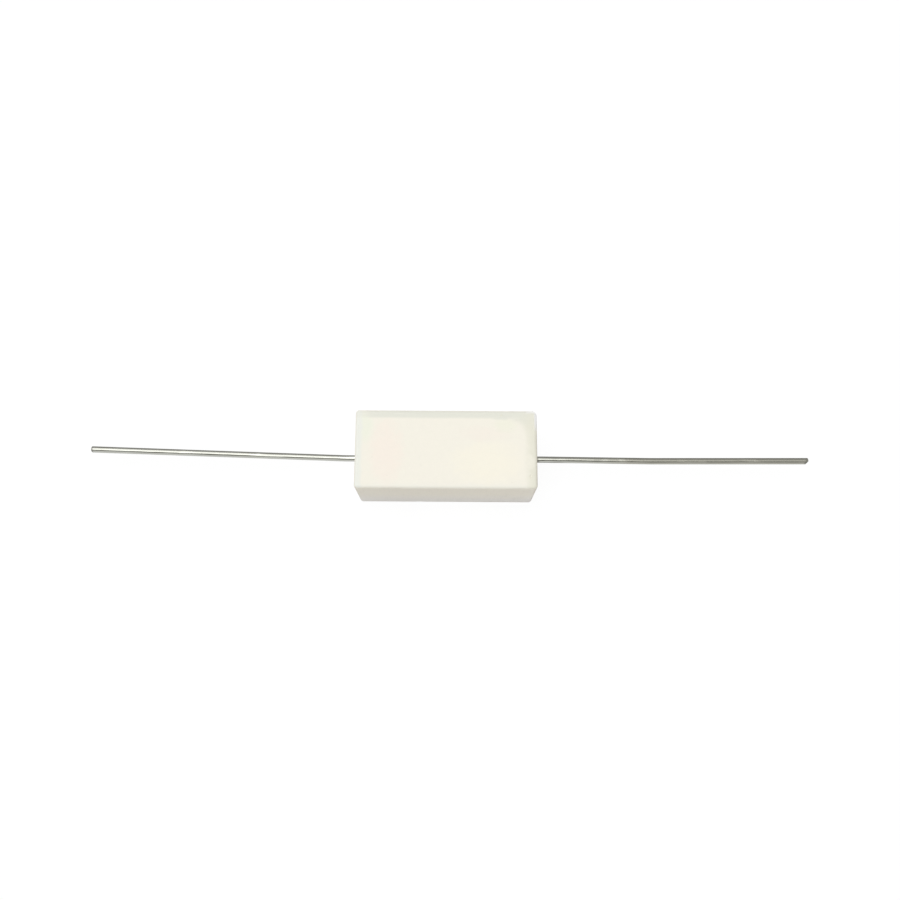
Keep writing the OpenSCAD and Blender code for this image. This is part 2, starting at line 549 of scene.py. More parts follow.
def new_group(name: str, inputs: Iterable[tuple[str, str, object]], outputs: Iterable[str]
              ) -> tuple[Graph, Sockets, Sockets]:
    """An empty shader group with its sockets.

    Args:
        name: The group's name.
        inputs: Name, socket type and default of each input.
        outputs: Name of each output, all of them values.

    Returns:
        The group's graph, what it is given and what it gives.
    """
    tree = bpy.data.node_groups.new(name, "ShaderNodeTree")
    for label, kind, default in inputs:
        socket = tree.interface.new_socket(label, in_out="INPUT", socket_type=kind)
        if default is not None:
            socket.default_value = default
    for label in outputs:
        tree.interface.new_socket(label, in_out="OUTPUT", socket_type="NodeSocketFloat")
    graph = Graph(tree)
    return graph, graph.node("NodeGroupInput").outputs, graph.node("NodeGroupOutput").inputs


def grain_group() -> Tree:
    """Fine mineral grain in two sizes: a value round 0.5 and a height.

    Returns:
        The group.
    """
    graph, given, result = new_group(
        "mineral_grain",
        [("Vector", "NodeSocketVector", None), ("Scale", "NodeSocketFloat", 8.0)],
        ["Value", "Height"])
    fine_detail, fine_roughness, coarse_size = 4.0, 0.62, 0.23
    fine = graph.noise(given["Vector"], given["Scale"], fine_detail, fine_roughness)
    coarse = graph.noise(given["Vector"], graph.product(given["Scale"], coarse_size), 2.0)
    for name, share in (("Value", 0.6), ("Height", 0.7)):
        rest = graph.product(coarse, 1 - share)
        graph.feed(result[name], graph.math("MULTIPLY_ADD", fine, share, rest))
    return graph.tree


def pores_group() -> Tree:
    """Scattered pin-holes: a mask that is 1 in a hole.

    Returns:
        The group.
    """
    graph, given, result = new_group(
        "pin_holes",
        [("Vector", "NodeSocketVector", None), ("Scale", "NodeSocketFloat", 2.0),
         ("Size", "NodeSocketFloat", 0.12), ("Spread", "NodeSocketFloat", 0.55)],
        ["Mask"])
    swarm_size, swarm_edge = 0.45, 0.08
    distance = graph.cells(given["Vector"], given["Scale"])
    inside = graph.math("SUBTRACT", 1.0, graph.spread(distance, 0.0, given["Size"]))
    swarm = graph.noise(given["Vector"], swarm_size, 2.0)
    full = graph.math("ADD", given["Spread"], swarm_edge)
    graph.feed(result["Mask"], graph.product(inside, graph.spread(swarm, given["Spread"], full)))
    return graph.tree


def block_edge_group() -> Tree:
    """Distance from the nearest edge of a block that is centred on the given vector, in its units.

    Returns:
        The group.
    """
    graph, given, result = new_group(
        "block_edges",
        [("Vector", "NodeSocketVector", None), ("Half Size", "NodeSocketVector", None)],
        ["Distance"])
    sides = zip(graph.split(given["Vector"]), graph.split(given["Half Size"]))
    x, y, z = [graph.math("SUBTRACT", half, graph.math("ABSOLUTE", at)) for at, half in sides]
    nearest = graph.math("MINIMUM", x, y)
    other = graph.math("MAXIMUM", x, y)
    graph.feed(result["Distance"], graph.math("MAXIMUM", nearest, graph.math("MINIMUM", other, z)))
    return graph.tree


@dataclass
class Groups:
    """The shared shader groups."""

    grain: Tree = field(default_factory=grain_group)
    pores: Tree = field(default_factory=pores_group)
    edges: Tree = field(default_factory=block_edge_group)


def new_material(name: str, **constants: float) -> tuple[Material, Graph, Node]:
    """A node material with its main shader wired to the surface.

    Args:
        name: The material's name.
        constants: The shader's values that are the same all over, by name.

    Returns:
        The material, its graph and its shader node.
    """
    material = bpy.data.materials.new(name)
    material.use_nodes = True
    graph = Graph(material.node_tree)
    shader = graph.node("ShaderNodeBsdfPrincipled")
    for label, value in constants.items():
        shader.inputs[label.replace("_", " ")].default_value = value
    graph.node("ShaderNodeOutputMaterial", {"Surface": shader.outputs["BSDF"]})
    return material, graph, shader


# Finishes. Lengths are in millimetres. A range gives where a mask starts and where it is full; a
# fade gives the same and the two values that the mask takes there.

@dataclass(frozen=True)
class Place:
    """A point of the case: its coordinates, a slow unevenness there and the case's size."""

    where: Socket
    x: Socket
    y: Socket
    z: Socket
    warp: Socket
    size: Vector


@dataclass(frozen=True)
class Stain:
    """A soft patch of another tone on the case's upper face, with an outline that is bowed."""

    centre: Range
    radii: Range
    tone: Colour
    strength: float
    bow: float = 0.9

    def mask(self, graph: Graph, at: Place) -> Socket:
        """The patch's share at each place.

        Args:
            graph: The material's graph.
            at: The place.

        Returns:
            The mask.
        """
        squares = []
        for place, middle, radius in zip((at.x, at.y), self.centre, self.radii):
            out = graph.math("DIVIDE", graph.math("SUBTRACT", place, middle), radius)
            squares.append(graph.math("POWER", out, 2.0))
        uneven = graph.math("ADD", graph.math("ADD", *squares), graph.product(at.warp, self.bow))
        return graph.spread(uneven, 1.0, 0.0, 0.0, self.strength)


@dataclass(frozen=True)
class PressedCeramic:
    """Bare pressed ceramic: warm cream, cooler along the borders of its upper face, with painted
    floor bounce, painted shade and a painted highlight.
    """

    face: Colour = linear(250, 246, 233)
    far_border: Colour = linear(233, 233, 221)
    right_border: Colour = linear(236, 234, 218)
    left_border: Colour = linear(243, 244, 235)
    side: Colour = linear(251, 245, 230)
    # Painted light: the sides turn cooler towards their foot, standing in for the white floor's
    # bounce.
    side_floor_bounce: Colour = linear(250, 246, 239)
    # The edges' darker tone: partly edge wear, partly painted shade of the rounded edges.
    edge: Colour = linear(224, 217, 201)
    # Painted shade on the edges of the right end and on the near upright corners.
    edge_shade_tone: Colour = linear(168, 160, 142)
    speck: Colour = linear(176, 170, 152)
    gloss: float = 0.35
    roughness: Range = (0.52, 0.7)
    relief: float = 0.014
    bump: float = 0.7
    grain_rate: float = 7.0
    warp_rate: float = 0.9
    far_width: float = 0.97
    right_width: float = 1.15
    left_width: float = 0.8
    near_width: float = 0.5
    inner_corner: float = 2.4
    upper: Range = (0.35, 0.85)
    # Where the sides' painted floor bounce starts and where it is full, as shares of the height.
    foot: Range = (0.7, 0.1)
    left_edge: Range = (-0.25, 0.25)
    near_edge: Fade = (-0.3, 0.3, 0.0, 0.3)
    face_bow: float = 0.5
    tone_change: Range = (-2.5, 1.5)
    border_polish: float = -0.08
    border_depth: float = -0.6
    border_bow: Range = (0.12, 0.7)
    border_softness: Range = (0.2, 0.6)
    far_left: Fade = (-10.6, -8.6, 0.35, 1.0)
    # The darker edges, partly wear and partly painted shade of the rounding that turns from the lamp.
    edge_wear_and_shade: Range = (0.2, 0.0)
    wear_and_shade_bow: float = 0.3
    wear_and_shade_share: float = 0.45
    # Painted shade: the right end's upper edges, facing away from the lamp, and the near upright
    # corners, darkened in patches.
    shade_reach: Range = (0.45, 0.3)
    shade_end: Range = (0.6, 0.85)
    shade_near: Range = (2.2, 0.2)
    shade_depth: Range = (0.7, 0.4)
    corner_from: Range = (0.25, 0.55)
    corner_to: Range = (0.99, 0.94)
    corner_upright: Range = (0.5, 0.3)
    corner_near: Range = (-0.1, -0.25)
    corner_share: float = 0.8
    patch_rate: float = 0.6
    shade_patches: Fade = (0.35, 0.65, 0.25, 0.5)
    # How close to an edge the painted highlight on the far right corner reaches.
    highlight_edge: Range = (0.45, 0.2)
    speck_share: float = 0.7
    speck_depth: float = -1.6
    wall: Range = (0.5, 0.2)
    drag_lines: tuple[float, float, float] = (5.0, 5.0, 0.35)
    drag_marks: Range = (0.5, 0.75)
    drag_shade: float = -0.03
    drag_depth: float = -0.5
    mottle: Fade = (0.25, 0.75, 0.98, 1.015)
    dip: Stain = Stain((6.7, 4.15), (2.5, 0.62), linear(233, 233, 221), 1.0, 0.8)
    gap: Stain = Stain((10.1, -1.6), (0.9, 1.2), linear(250, 246, 233), 0.6, 1.4)
    # A painted highlight: near-white on the edges of the far right corner.
    corner_highlight: Stain = Stain((10.9, 4.1), (1.5, 1.9), linear(252, 252, 250), 1.0, 1.0)
    stains: tuple[Stain, ...] = (
        Stain((-7.2, -0.4), (2.6, 5.2), linear(253, 243, 231), 0.8),
        Stain((5.0, -1.6), (5.4, 3.4), linear(254, 249, 232), 0.75),
        Stain((4.6, 1.9), (3.8, 1.3), linear(251, 243, 231), 0.55),
        Stain((-9.9, 2.8), (1.4, 2.6), linear(244, 247, 230), 0.7),
        Stain((7.2, 3.0), (1.8, 1.2), linear(245, 246, 226), 0.5),
    )

    def build(self, groups: Groups, size: Vector) -> Material:
        """Makes the material.

        Args:
            groups: The shared shader groups.
            size: The case's size.

        Returns:
            The material.
        """
        material, graph, shader = new_material("pressed_ceramic", Specular_IOR_Level=self.gloss)
        where = graph.place()
        warp = graph.math("SUBTRACT", graph.noise(where, self.warp_rate), 0.5)
        at = Place(where, *graph.split(where), warp, size)
        normal = graph.normal()
        centred = graph.place(shift=(0.0, 0.0, -size.z / 2))
        edge = graph.group(groups.edges, Vector=centred, Half_Size=tuple(size / 2))["Distance"]
        border = self.border_mask(graph, at)
        # Painted floor bounce: the sides' colour turns cooler towards the foot.
        side = graph.blend(graph.spread(at.z, *(size.z * share for share in self.foot)),
                           self.side, self.side_floor_bounce)
        colour = graph.blend(graph.spread(normal[2], *self.upper), side,
                             self.upper_face(graph, at, border))
        # Edge wear with painted shade, and a painted highlight.
        colour = self.edges_wear_shade_and_highlight(graph, at, normal, edge, colour)
        grain = graph.group(groups.grain, Vector=where, Scale=self.grain_rate)
        specks = graph.group(groups.pores, Vector=where, Scale=1.5, Size=0.075, Spread=0.57)["Mask"]
        colour = graph.blend(graph.product(specks, self.speck_share), colour, self.speck)
        lines = graph.noise(graph.place(scale=self.drag_lines), 1.0, 2.0)
        drag = graph.product(graph.spread(normal[2], *self.wall),
                             graph.spread(lines, *self.drag_marks))
        value = graph.product(graph.spread(grain["Value"], *self.mottle),
                              graph.math("MULTIPLY_ADD", drag, self.drag_shade, 1.0))
        rough = graph.spread(grain["Value"], *GRAIN_SPAN, *self.roughness)
        rough = graph.math("MULTIPLY_ADD", border, self.border_polish, rough)
        height = grain["Height"]
        for mask, depth in ((specks, self.speck_depth), (drag, self.drag_depth),
                            (border, self.border_depth)):
            height = graph.math("MULTIPLY_ADD", mask, depth, height)
        graph.finish(shader, graph.shaded(colour, value), rough, height, self.relief, self.bump)
        return material

    def edges_wear_shade_and_highlight(self, graph: Graph, at: Place, normal: Sequence[Socket], edge: Socket, colour: object
             ) -> Socket:
        """Darkens the edges as wear and painted shade, paints shade along the right end and the near
        upright corners, and paints a highlight on one corner.

        Args:
            graph: The material's graph.
            at: The place.
            normal: The surface's direction.
            edge: Distance from the nearest edge.
            colour: The clean colour.

        Returns:
            The worn colour.
        """
        # Darker along every edge: partly edge wear, partly painted shade of the rounded edges that
        # turn from the lamp.
        wear_and_shade = graph.spread(graph.math("MULTIPLY_ADD", at.warp, self.wear_and_shade_bow, edge), *self.edge_wear_and_shade)
        colour = graph.blend(graph.product(wear_and_shade, self.wear_and_shade_share), colour, self.edge)
        # Painted shade: the right end's upper edges and the near upright corners are darkened in
        # patches.
        right_end_shade = graph.product(
            graph.spread(edge, *self.shade_reach), graph.spread(normal[0], *self.shade_end),
            graph.spread(at.y, *self.shade_near),
            graph.spread(at.z, *(at.size.z - depth for depth in self.shade_depth)))
        endways = graph.math("ABSOLUTE", normal[0])
        corners = graph.product(
            graph.spread(endways, *self.corner_from), graph.spread(endways, *self.corner_to),
            graph.spread(normal[2], *self.corner_upright),
            graph.spread(normal[1], *self.corner_near), self.corner_share)
        patches = graph.spread(graph.noise(at.where, self.patch_rate, 2.0), *self.shade_patches)
        edge_shade = graph.product(graph.largest(right_end_shade, corners), patches)
        colour = graph.blend(edge_shade, colour, self.edge_shade_tone)
        # Painted highlight: the far right corner's edges are lightened to near white.
        corner_highlight = graph.product(graph.spread(edge, *self.highlight_edge), self.corner_highlight.mask(graph, at))
        return graph.blend(corner_highlight, colour, self.corner_highlight.tone)

    def upper_face(self, graph: Graph, at: Place, border: Socket) -> Socket:
        """The colour of the upper face.

        Args:
            graph: The material's graph.
            at: The place.
            border: The mask of the far and right borders.

        Returns:
            The colour.
        """
        colour = self.face
        for stain in self.stains:
            colour = graph.blend(stain.mask(graph, at), colour, stain.tone)
        bow = graph.product(at.warp, self.face_bow)
        for place, width, length, fade in ((at.x, self.left_width, at.size.x, self.left_edge),
                                           (at.y, self.near_width, at.size.y, self.near_edge)):
            inside = graph.math("SUBTRACT", width - length / 2, place)
            share = graph.spread(graph.math("ADD", inside, bow), *fade)
            colour = graph.blend(share, colour, self.left_border)
        diagonal = (at.size.x - at.size.y) / 2
        rightness = graph.spread(graph.math("SUBTRACT", at.x, at.y),
                                 *(diagonal + reach for reach in self.tone_change))
        return graph.blend(border, colour,
                           graph.blend(rightness, self.far_border, self.right_border))

    def border_mask(self, graph: Graph, at: Place) -> Socket:
        """A mask of the cooler border along the far and right edges of the upper face.

        Args:
            graph: The material's graph.
            at: The place.

        Returns:
            The mask.
        """
        right = at.size.x / 2 - self.right_width - self.inner_corner
        far = at.size.y / 2 - self.far_width - self.inner_corner
        squares = []
        for place, start in ((at.x, right), (at.y, far)):
            out = graph.math("MAXIMUM", graph.math("SUBTRACT", place, start), 0.0)
            squares.append(graph.math("POWER", out, 2.0))
        reach = graph.math("SQRT", graph.math("ADD", *squares))
        bow = graph.product(at.warp, graph.spread(at.x, right - 1.0, right + 1.0, *self.border_bow))
        beyond = graph.math("ADD", graph.math("SUBTRACT", reach, self.inner_corner), bow)
        soft = graph.spread(at.x, right - 1.0, right + 1.5, *self.border_softness)
        band = graph.spread(beyond, graph.product(soft, -1.0), soft)
        return graph.product(graph.largest(band, self.dip.mask(graph, at)),
                             graph.math("SUBTRACT", 1.0, self.gap.mask(graph, at)),
                             graph.spread(at.x, *self.far_left))


@dataclass(frozen=True)
class CastCement:
    """Cast cement filling: pale grey, sandy, with small blow holes."""

    pale: Colour = linear(226, 224, 214)
    dark: Colour = linear(213, 210, 200)
    # The sand grains' colour, also used as painted shade in the blow holes.
    sand_and_hole_shade: Colour = linear(168, 163, 150)
    roughness: Range = (0.75, 0.95)
    relief: float = 0.05
    bump: float = 0.8
    grain_rate: float = 6.0
    cloud_rate: float = 0.35
    clouds: Range = (0.35, 0.65)
    sand_rate: float = 5.5
    sand_grain: Range = (0.22, 0.1)
    patch_rate: float = 3.1
    sand_patches: Range = (0.5, 0.62)
    sand_share: float = 0.6
    grit: Range = (0.9, 1.06)

    def build(self, groups: Groups) -> Material:
        """Makes the material.

        Args:
            groups: The shared shader groups.

        Returns:
            The material.
        """
        material, graph, shader = new_material("cast_cement")
        where = graph.place()
        grain = graph.group(groups.grain, Vector=where, Scale=self.grain_rate)
        cloud = graph.spread(graph.noise(where, self.cloud_rate), *self.clouds)
        colour = graph.blend(cloud, self.pale, self.dark)
        sandy = graph.product(graph.spread(graph.cells(where, self.sand_rate), *self.sand_grain),
                              graph.spread(graph.noise(where, self.patch_rate), *self.sand_patches))
        # The blow holes take the sand colour too: painted shade in the holes.
        shaded_holes = graph.group(groups.pores, Vector=where, Scale=2.2, Size=0.22, Spread=0.42)["Mask"]
        for mask in (sandy, shaded_holes):
            colour = graph.blend(graph.product(mask, self.sand_share), colour, self.sand_and_hole_shade)
        colour = graph.shaded(colour, graph.spread(grain["Value"], *GRAIN_SPAN, *self.grit))
        height = graph.math("MULTIPLY_ADD", shaded_holes, -1.0, grain["Height"])
        rough = graph.spread(grain["Value"], *GRAIN_SPAN, *self.roughness)
        graph.finish(shader, colour, rough, height, self.relief, self.bump)
        return material


@dataclass(frozen=True)
class TinnedWire:
    """Tinned copper wire: bright, with painted dark reflections along its flanks and the lines that
    drawing left.

    The lean is the share of +Y and of +Z in the direction that the painted reflections and shade are
    measured along. The places along the wire are distances from the case's middle.
    """

    # Where the wire turns rougher and darker towards its tip; the darker colour is a painted dimmer
    # reflection.
    dulling_and_dimming: Range
    tip: float
    crushed: float
    # The strength of the painted dark reflection in a line just below the top.
    reflected_line_strength: float = 0.9
    # The strength of the painted dimming of the top band's reflection, and where along the wire it
    # starts.
    top_dimming: float = 0.5
    top_dimming_from: float = 11.5
    # The strength of the painted shadow at the wire's root by the case and on its near flank.
    root: float = 0.0
    bright: Colour = linear(187, 188, 181)
    dull_dim: Colour = linear(170, 169, 159)
    # The dark that the painted reflections and shade, and the cut tip, take.
    dark: Colour = linear(100, 99, 91)
    roughness: Range = (0.2, 0.42)
    relief: float = 0.006
    bump: float = 0.6
    grain_rate: float = 5.0
    line_depth: float = 0.6
    grain_depth: float = 0.4
    drawn_lines: tuple[float, float, float] = (0.35, 9.0, 9.0)
    slow_patches: tuple[float, float, float] = (0.35, 1.2, 1.2)
    patchiness: float = 0.9
    jitter: float = 0.24
    lean: Range = (0.976, 0.22)
    # Painted dark reflection along the far flank of the wire.
    far_flank_reflection: float = 0.9
    far_turn: Range = (0.58, 0.74)
    far_back: Range = (0.0, 0.25)
    # Where the painted dark line of reflection lies, by the turn round the wire.
    line_from: Range = (-0.44, -0.34)
    line_to: Range = (0.02, -0.08)
    line_patches: Fade = (0.3, 0.6, 0.75, 1.1)
    # Where the painted dimming of the top band lies.
    top_turn: Range = (-0.02, 0.12)
    top_patches: Range = (0.15, 0.4)
    top_fade: float = 3.0
    # Where the painted shade on the near flank and at the root lies.
    near_turn: Range = (-0.6, -0.8)
    near_reach: Range = (16.0, 13.5)
    near_shade_share: float = 0.6
    root_shadow_reach: Range = (11.9, 11.4)
    streaks: Range = (0.9, 1.05)
    tip_streaks: Range = (0.6, 0.9)

    def build(self, groups: Groups, end: End) -> Material:
        """Makes the material for one lead.

        Args:
            groups: The shared shader groups.
            end: Which lead it is.

        Returns:
            The material.
        """
        material, graph, shader = new_material(f"tinned_wire_{end.name.lower()}", Metallic=1.0)
        where = graph.place()
        x = graph.math("ABSOLUTE", graph.split(where)[0])
        drawn = graph.noise(graph.place(scale=self.drawn_lines), 1.0)
        patch = graph.noise(graph.place(scale=self.slow_patches), 1.0)
        # Rougher towards the tip, and darker there as a painted dimmer reflection.
        dullness_and_dimming = graph.math("ADD", graph.spread(x, *self.dulling_and_dimming),
                              graph.centred(patch, self.patchiness))
        colour = graph.blend(graph.spread(dullness_and_dimming, 0.0, 1.0), self.bright, self.dull_dim)
        # Painted reflections and shade, and the dark cut tip.
        colour = graph.blend(self.painted_reflections_and_tip(graph, x, drawn, patch), colour, self.dark)
        colour = graph.shaded(colour, graph.spread(drawn, *GRAIN_SPAN, *self.streaks))
        grain = graph.group(groups.grain, Vector=where, Scale=self.grain_rate)
        height = graph.math("MULTIPLY_ADD", drawn, self.line_depth,
                            graph.product(grain["Height"], self.grain_depth))
        graph.finish(shader, colour, graph.spread(dullness_and_dimming, 0.0, 1.0, *self.roughness), height,
                     self.relief, self.bump)
        return material

    def painted_reflections_and_tip(self, graph: Graph, x: Socket, drawn: Socket, patch: Socket) -> Socket:
        """The painted dark reflections on the flanks, below the top and along the dimmed top, the
        painted shadow at the root and on the near flank, and the dark of the cut tip.

        Args:
            graph: The material's graph.
            x: Distance from the case's middle.
            drawn: The drawn lines' noise.
            patch: The slow patches' noise.

        Returns:
            The mask.
        """
        lean_y, lean_z = self.lean
        _, across, up = graph.normal()
        turn = graph.math("MULTIPLY_ADD", up, lean_z, graph.centred(drawn, self.jitter))
        turn = graph.math("MULTIPLY_ADD", across, lean_y, turn)
        # Painted dark reflection along the far flank.
        back = graph.math("MULTIPLY_ADD", up, lean_y, graph.product(across, -lean_z))
        far_flank_reflection = graph.product(graph.spread(turn, *self.far_turn),
                                  graph.spread(back, *self.far_back), self.far_flank_reflection)
        # Painted dark reflection in a line below the top, broken in patches.
        reflected_dark_line = graph.product(graph.spread(turn, *self.line_from), graph.spread(turn, *self.line_to),
                             graph.spread(patch, *self.line_patches), self.reflected_line_strength)
        # Painted dimming of the top band's reflection, further out along the wire.
        dimmed_top = graph.product(graph.spread(turn, *self.top_turn),
                            graph.spread(patch, *self.top_patches),
                            graph.spread(x, self.top_dimming_from, self.top_dimming_from + self.top_fade),
                            self.top_dimming)
        # Painted shade on the near flank, close to the case.
        near_flank_shade = graph.product(
            graph.spread(turn, *self.near_turn),
            graph.product(graph.spread(x, *self.near_reach), self.root * self.near_shade_share))
        # Painted shadow at the root of the wire, by the case.
        root = graph.product(graph.spread(x, *self.root_shadow_reach), self.root)
        cut_tip = graph.product(graph.spread(x, self.tip - self.crushed, self.tip - self.crushed / 2),
                                graph.spread(drawn, *GRAIN_SPAN, *self.tip_streaks))
        return graph.largest(far_flank_reflection, reflected_dark_line, dimmed_top, near_flank_shade, root, cut_tip)


@dataclass(frozen=True)
class GrainyFinish:
    """A finish of two tones that its grain mixes."""

    name: str
    light: Colour
    dark: Colour
    roughness: Range
    relief: float = 0.01
    metallic: float = 0.0
    stretch: tuple[float, float, float] = (1, 1, 1)
    grain_rate: float = 7.0
    bump: float = 0.6

    def build(self, groups: Groups) -> Material:
        """Makes the material.

        Args:
            groups: The shared shader groups.

        Returns:
            The material.
        """
        material, graph, shader = new_material(self.name, Metallic=self.metallic)
        grain = graph.group(groups.grain, Vector=graph.place(scale=self.stretch),
                            Scale=self.grain_rate)
        colour, rough = self.surface(graph, grain["Value"])
        graph.finish(shader, colour, graph.spread(rough, *GRAIN_SPAN, *self.roughness),
                     grain["Height"], self.relief, self.bump)
        return material

    def surface(self, graph: Graph, grain: Socket) -> tuple[Socket, Socket]:
        """The colour, and what the roughness follows.

        Args:
            graph: The material's graph.
            grain: The grain's value.

        Returns:
            The colour, and a value round 0.5.
        """
        return graph.blend(graph.spread(grain, *GRAIN_SPAN), self.light, self.dark), grain


@dataclass(frozen=True)
class CutCopper(GrainyFinish):
    """The sheared end of a tinned copper wire, with the tin smeared over it."""

    name: str = "cut_copper"
    light: Colour = linear(150, 104, 80)
    dark: Colour = linear(96, 92, 90)
    roughness: Range = (0.42, 0.6)
    metallic: float = 1.0
    stretch: tuple[float, float, float] = (1.0, 6.0, 1.5)
    grain_rate: float = 4.0
    shear_rate: float = 1.6
    shear: Range = (0.4, 0.6)

    def surface(self, graph: Graph, grain: Socket) -> tuple[Socket, Socket]:
        """The colour in bands across the cut, and the grain for the roughness."""
        shear = graph.noise(graph.place(scale=self.stretch), self.shear_rate)
        return graph.blend(graph.spread(shear, *self.shear), self.light, self.dark), grain


@dataclass(frozen=True)
class PlainMetal(GrainyFinish):
    """A drawn or rolled metal of the sealed element, clouded by handling."""

    relief: float = 0.004
    metallic: float = 1.0
    grain_rate: float = 3.0
    cloud_rate: float = 0.8
    clouds: Fade = (0.55, 0.8, 0.0, 0.4)

    def surface(self, graph: Graph, grain: Socket) -> tuple[Socket, Socket]:
        """The colour and the roughness, both with slow clouds.

        Args:
            graph: The material's graph.
            grain: The grain's value.

        Returns:
            The colour, and the clouds.
        """
        cloud = graph.noise(graph.place(), self.cloud_rate, 2.0)
        colour = graph.blend(graph.spread(grain, *GRAIN_SPAN), self.light, self.dark)
        return graph.blend(graph.spread(cloud, *self.clouds), colour, self.dark), cloud


# The object

@dataclass(frozen=True)
class Chip:
    """A chip off an edge or a pit in a face, as a pebble that is cut away, in millimetres."""

    centre: tuple[float, float, float]
    radii: tuple[float, float, float]


@dataclass
class CeramicCase:
    """The pressed ceramic trough, closed above and open below."""

    side_wall: float = 1.1 * MM
    end_wall: float = 1.3 * MM
    closed_face: float = 1.3 * MM
    inner_radius: float = 1.1 * MM
    inner_bevel: float = 0.4 * MM
    edge_radius: float = 0.4 * MM
    rim_radius: float = 0.2 * MM
    rim_width: float = 0.7 * MM
    corner_radii: tuple[float, float, float, float] = (0.45 * MM, 0.5 * MM, 0.42 * MM, 0.62 * MM)
    slot_depth: float = 2.2 * MM
    near: float = 0.02 * MM
    inner_margin: float = 0.5 * MM
    inner_top: float = 0.7
    inner_steps: int = 6
    corner_steps: int = 7
    edge_steps: int = 5
    rim_steps: int = 4
    chip_seed: float = 3.1
    flatness: int = 60
    chips: tuple[Chip, ...] = (
        Chip((10.95, 4.78, 8.96), (0.34, 0.26, 0.2)),
        Chip((6.7, 4.2, 9.03), (0.16, 0.12, 0.09)),
        Chip((10.15, -3.35, 9.03), (0.13, 0.3, 0.08)),
        Chip((10.97, -2.1, 8.98), (0.13, 0.12, 0.13)),
        Chip((10.93, -2.85, 9.0), (0.12, 0.16, 0.1)),
        Chip((10.96, -4.81, 0.9), (0.2, 0.2, 0.7)),
        Chip((-10.97, -4.8, 7.7), (0.12, 0.12, 0.4)),
        Chip((-3.4, -4.85, 0.02), (0.5, 0.14, 0.12)),
        Chip((7.7, -4.85, 0.0), (0.3, 0.12, 0.14)),
        Chip((-8.6, 4.85, 0.02), (0.4, 0.14, 0.1)),
    )

    def build(self) -> Piece:
        """Models the trough.

        Returns:
            The finished case.
        """
        low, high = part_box("ceramic_case")
        piece = block("pressed_case", low, high)
        self.hollow(piece, low, high)
        self.round_corners(piece, low, high)
        for end in End:
            cut(piece, slot_bar(end.value * (high.x - self.slot_depth),
                                end.value * (high.x + OVERSHOOT), low.z - OVERSHOOT))
        for number, chip in enumerate(self.chips):
            cut(piece, pebble(f"chip_{number}", Vector(chip.centre) * MM, Vector(chip.radii) * MM,
                              self.chip_seed * number))
        fair(piece)
        apply_modifier(piece, "WEIGHTED_NORMAL", keep_sharp=True, weight=self.flatness)
        return piece

    def dress(self, piece: Piece, groups: Groups) -> None:
        """Gives the case its finish and its place in the frame.

        Args:
            piece: The finished case.
            groups: The shared shader groups.
        """
        low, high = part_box("ceramic_case")
        piece.data.materials.append(PressedCeramic().build(groups, (high - low) / MM))
        seat(piece, "ceramic_case")

    def hollow(self, piece: Piece, low: Vector, high: Vector) -> None:
        """Sinks the drafted trough into the underside.

        Args:
            piece: The block of the case.
            low: Its lowest corner.
            high: Its highest corner.
        """
        length, width, height = high - low
        pick(piece, Part.FACE, lambda at, normal: normal.z < -ALONG)
        bpy.ops.mesh.inset(thickness=self.side_wall)
        middle = ((low.x + high.x) / 2, (low.y + high.y) / 2, low.z)
        resize(((length - 2 * self.end_wall) / (length - 2 * self.side_wall), 1, 1), middle)
        wall = height - self.closed_face - self.inner_bevel
        for step, inset in ((wall, wall * math.tan(DRAFT)), (self.inner_bevel, self.inner_bevel)):
            opening = [v.co.copy() for v in bmesh.from_edit_mesh(piece.data).verts if v.select]
            half_x = max(v.x for v in opening)
            half_y = max(v.y for v in opening)
            extrude((0, 0, step))
            resize(((half_x - inset) / half_x, (half_y - inset) / half_y, 1), middle)
        leave_edit()
        inner_x, inner_y = length / 2 - self.inner_margin, width / 2 - self.inner_margin
        bevel_edges(piece, lambda at, way: abs(way.z) > ALONG and abs(at.x) < inner_x
                    and abs(at.y) < inner_y and at.z < height * self.inner_top,
                    self.inner_radius, self.inner_steps)

    def round_corners(self, piece: Piece, low: Vector, high: Vector) -> None:
        """Rounds the outer upright corners, then the upper edges and the rim.

        Args:
            piece: The hollow case.
            low: Its lowest corner.
            high: Its highest corner.
        """
        corners = ((-1, -1), (1, -1), (-1, 1), (1, 1))
        for (side_x, side_y), radius in zip(corners, self.corner_radii):
            corner_x, corner_y = side_x * high.x, side_y * high.y
            bevel_edges(piece, lambda at, way: abs(way.z) > ALONG and abs(at.x - corner_x) < self.near
                        and abs(at.y - corner_y) < self.near, radius, self.corner_steps)
        bevel_edges(piece, lambda at, way: at.z > high.z - self.near and abs(way.z) < 1 - ALONG,
                    self.edge_radius, self.edge_steps)

        def on_rim(at: Vector, way: Vector) -> bool:
            """Is this edge on the outer edge of the rim?"""
            inside = abs(at.x) < high.x - self.rim_width and abs(at.y) < high.y - self.rim_width
            return at.z < low.z + self.near and abs(way.z) < 1 - ALONG and not inside

        bevel_edges(piece, on_rim, self.rim_radius, self.rim_steps)


